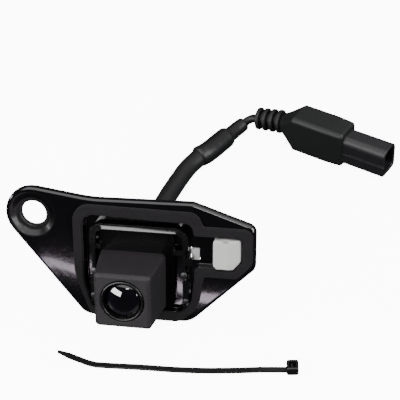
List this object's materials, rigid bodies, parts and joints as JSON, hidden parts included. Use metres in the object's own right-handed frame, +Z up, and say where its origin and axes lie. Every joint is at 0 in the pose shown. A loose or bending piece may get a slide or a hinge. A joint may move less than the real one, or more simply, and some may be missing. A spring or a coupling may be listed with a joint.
{
  "type": "rear-view camera kit",
  "caption": "Rear-view camera head on a pressed steel plate with a foam gasket, snap latches, a nylon clip, a lead with a keyed plug and a loose cable tie.",
  "frame": {"origin": "centre of the footprint of the plate, camera and tie, on the surface that the kit stands on; the lead and plug aren't counted", "axes": "+X to the right along the plate as the lens faces the viewer, +Y to the back towards the plug, +Z up; the plate leans back 20 degrees"},
  "size_m": [0.1598, 0.168, 0.0544],
  "materials": {
    "plate_enamel": "gloss",
    "gasket_foam": "matte",
    "cradle_black": "gloss",
    "hood_charcoal": "matte",
    "housing_black": "satin",
    "bezel_black": "gloss",
    "lens_glass": "coated",
    "filter_glass": "coated",
    "barrel_black": "anodised",
    "seal_rubber": "matte",
    "screw_steel": "zinc plated",
    "spacer_brass": "machined",
    "board_green": "solder mask",
    "chip_black": "matte",
    "header_cream": "satin",
    "wire_red": "satin",
    "lead_pvc": "satin",
    "shrink_black": "satin",
    "plug_black": "satin",
    "shell_black": "satin",
    "carrier_grey": "matte",
    "contact_tin": "tin plated",
    "nylon_white": "translucent satin",
    "tie_nylon": "satin"
  },
  "bodies": {
    "root": {"mount_plate": "plate_enamel", "foam_gasket": "gasket_foam", "cradle_frame": "cradle_black", "cradle_screws": "screw_steel", "latch_pins": "screw_steel", "front_housing": "hood_charcoal", "lens_bezel": "bezel_black", "lens_o_ring": "seal_rubber", "lens_front_element": "lens_glass", "lens_barrel": "barrel_black", "lens_inner_elements": "lens_glass", "lens_holder": "housing_black", "ir_filter": "filter_glass", "image_sensor": "chip_black", "sensor_board": "board_green", "board_spacers": "spacer_brass", "signal_board": "board_green", "board_chips": "chip_black", "cable_header": "header_cream", "lead_wires": "wire_red", "housing_seal": "seal_rubber", "rear_housing": "housing_black", "housing_screws": "screw_steel", "cable_gland": "seal_rubber", "outer_sleeve": "lead_pvc", "joint_sleeve": "shrink_black", "collar_sleeve": "shrink_black", "thin_cable": "lead_pvc", "cable_boot": "seal_rubber", "plug_body": "plug_black", "plug_shell": "shell_black", "contact_carrier": "carrier_grey", "contact_pins": "contact_tin", "panel_clip": "nylon_white"},
    "latch_left": {"latch_left": "cradle_black"},
    "latch_right": {"latch_right": "cradle_black"},
    "clip_leg_upper": {"clip_leg_upper": "nylon_white"},
    "clip_leg_lower": {"clip_leg_lower": "nylon_white"},
    "tie": {"tie_strap": "tie_nylon"},
    "tie_pawl": {"tie_pawl": "tie_nylon"}
  },
  "joints": [
    {"name": "latch_left_flex", "type": "hinge", "parent": "root", "child": "latch_left", "pos_m": [-0.0249, 0.00664, 0.02159], "axis": [0, -0.9397, 0.342], "range_deg": [0, 6], "stiffness_Nm_per_rad": 0.02},
    {"name": "latch_right_flex", "type": "hinge", "parent": "root", "child": "latch_right", "pos_m": [0.0131, 0.00691, 0.02234], "axis": [0, 0.9397, -0.342], "range_deg": [0, 6], "stiffness_Nm_per_rad": 0.02},
    {"name": "clip_leg_upper_flex", "type": "hinge", "parent": "root", "child": "clip_leg_upper", "pos_m": [0.0312, 0.01729, 0.0342], "axis": [-1, 0, 0], "range_deg": [0, 8], "stiffness_Nm_per_rad": 0.02},
    {"name": "clip_leg_lower_flex", "type": "hinge", "parent": "root", "child": "clip_leg_lower", "pos_m": [0.0312, 0.01394, 0.02499], "axis": [1, 0, 0], "range_deg": [0, 8], "stiffness_Nm_per_rad": 0.02},
    {"name": "tie_lift", "type": "slide", "parent": "root", "child": "tie", "axis": [0, 0, 1], "range_m": [0, 0.06]},
    {"name": "tie_pawl_flex", "type": "hinge", "parent": "tie", "child": "tie_pawl", "pos_m": [0.05979, -0.0203, 0.0006], "axis": [0.1428, -0.9898, 0], "range_deg": [0, 12], "stiffness_Nm_per_rad": 0.002}
  ]
}
